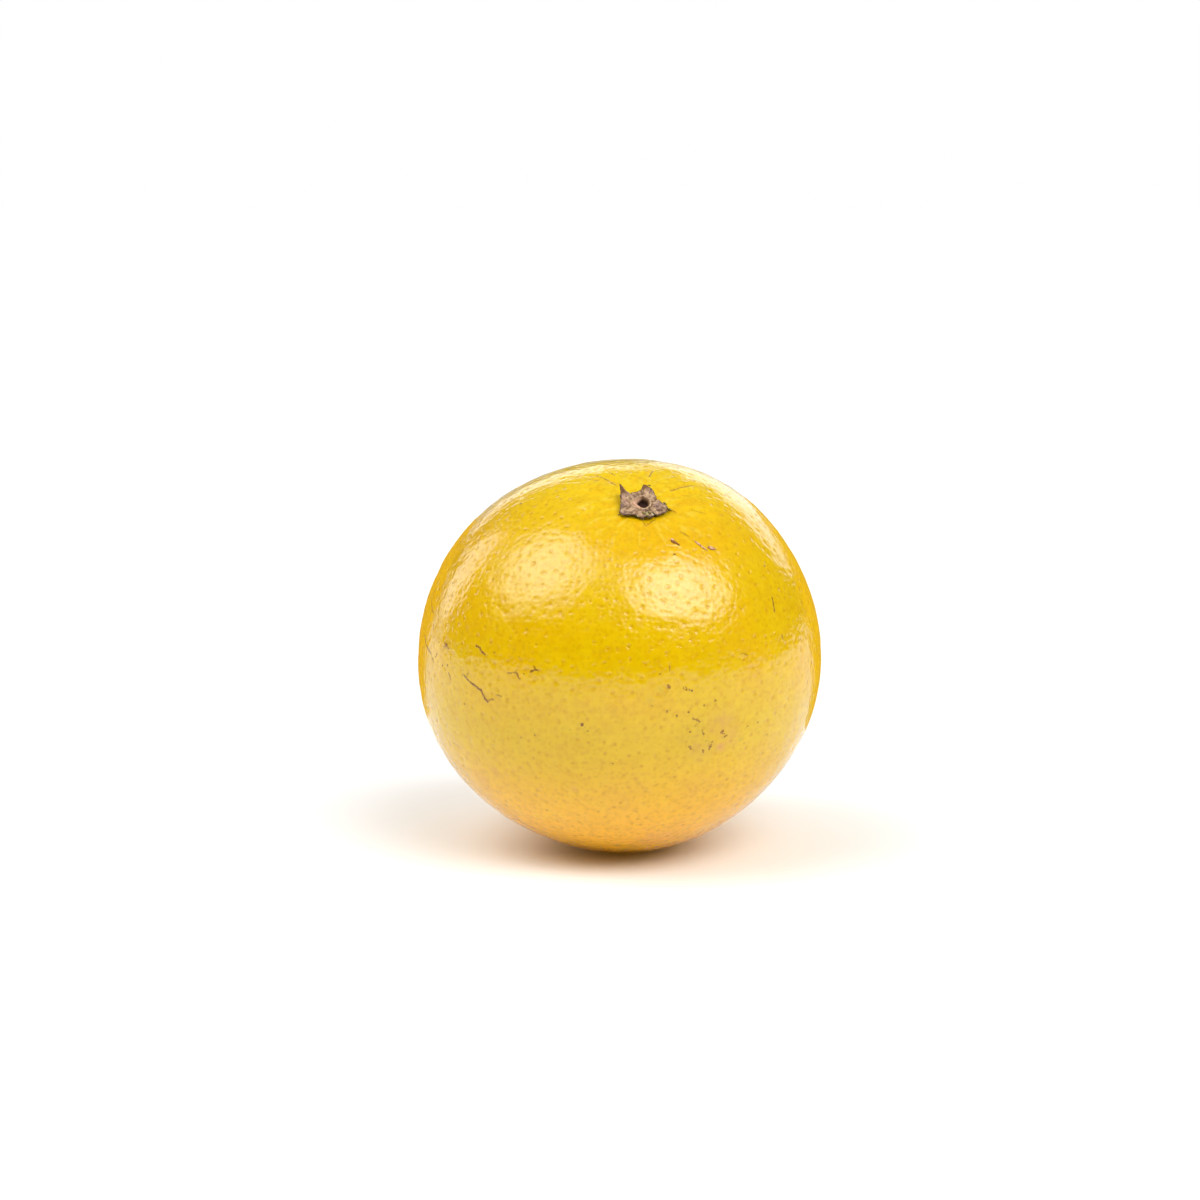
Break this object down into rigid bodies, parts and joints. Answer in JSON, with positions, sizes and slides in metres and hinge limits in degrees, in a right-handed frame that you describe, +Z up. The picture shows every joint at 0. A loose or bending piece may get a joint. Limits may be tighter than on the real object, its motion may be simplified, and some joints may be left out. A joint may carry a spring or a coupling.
{
  "type": "orange",
  "caption": "Whole fresh orange with a pitted peel and a dried calyx in its stem end, lying on a small flat spot.",
  "frame": {"origin": "middle of the small flat resting spot on the fruit's underside", "axes": "+Z up from the surface it lies on; the front is -Y, where the stem end leans by 32 degrees; +X is to the viewer's right"},
  "size_m": [0.0753, 0.0745, 0.0726],
  "materials": {
    "orange_peel": "waxed peel, glossy, finely pitted by oil glands",
    "dried_calyx": "dry, matt, fibrous"
  },
  "bodies": {
    "root": {"fruit": "orange_peel", "calyx": "dried_calyx"}
  },
  "joints": []
}
